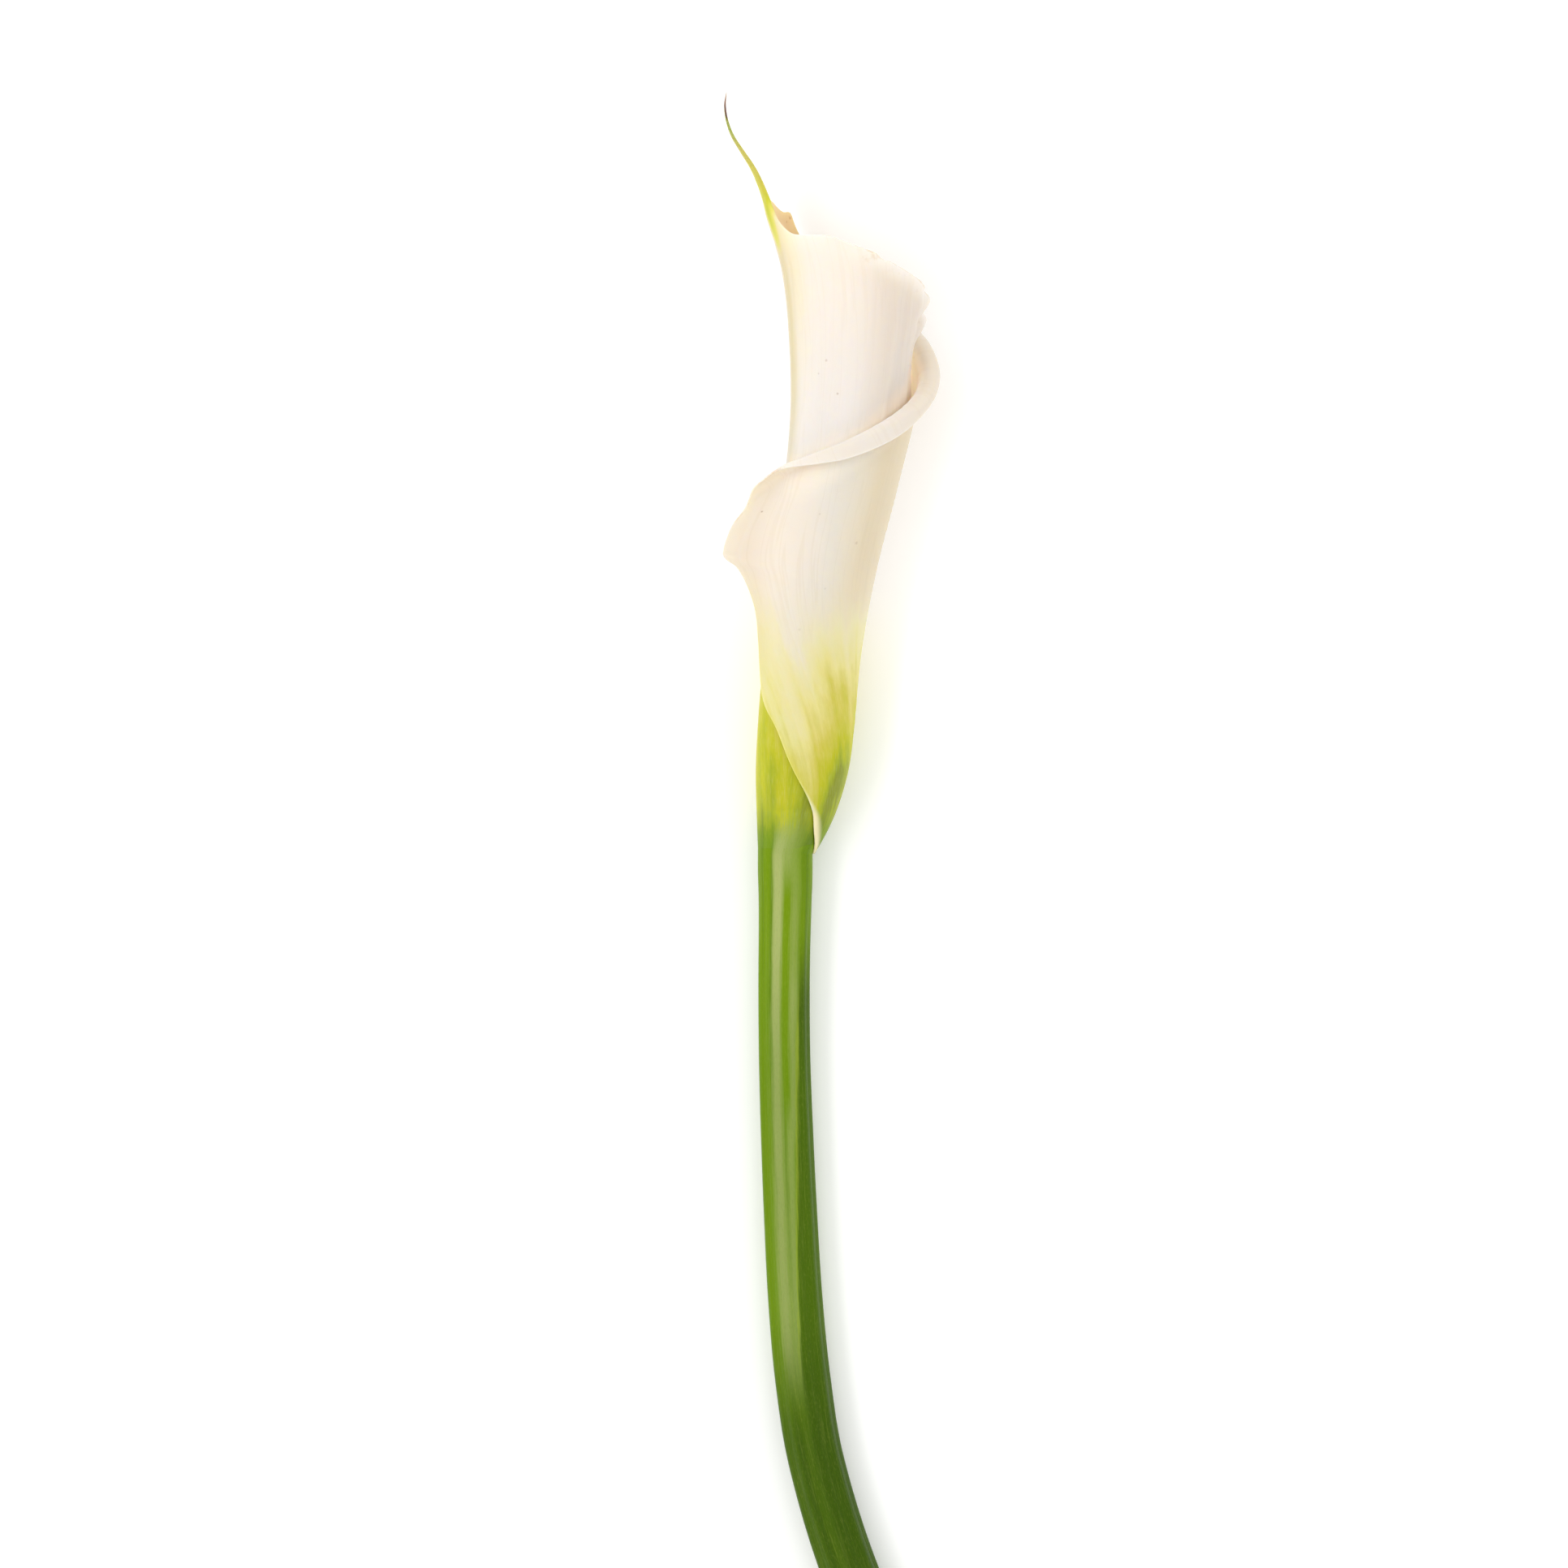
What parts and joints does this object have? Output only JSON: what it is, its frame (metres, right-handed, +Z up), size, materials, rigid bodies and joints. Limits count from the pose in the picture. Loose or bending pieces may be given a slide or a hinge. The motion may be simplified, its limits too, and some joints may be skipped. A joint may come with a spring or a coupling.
{
  "type": "cut calla lily",
  "caption": "Cut calla lily lying down: a long green stem with a white funnel-shaped spathe rolled round a yellow spadix, its tip drawn out into a green tail.",
  "frame": {"origin": "on the surface that the flower lies on, under the middle of its bounding box", "axes": "+X to the right and +Y from the stem's cut end to the flower's tail, both along the surface; +Z up, towards the camera that looks down on it"},
  "size_m": [0.0504, 0.343, 0.028],
  "materials": {
    "spathe": "waxy satin petal, ivory white, yellow-green at the foot, green to brown at the tail",
    "spadix": "matt, powdery with pollen",
    "stem": "smooth waxy green with a soft shine"
  },
  "bodies": {
    "root": {"spathe": "spathe", "spadix": "spadix", "stem": "stem"}
  },
  "joints": []
}
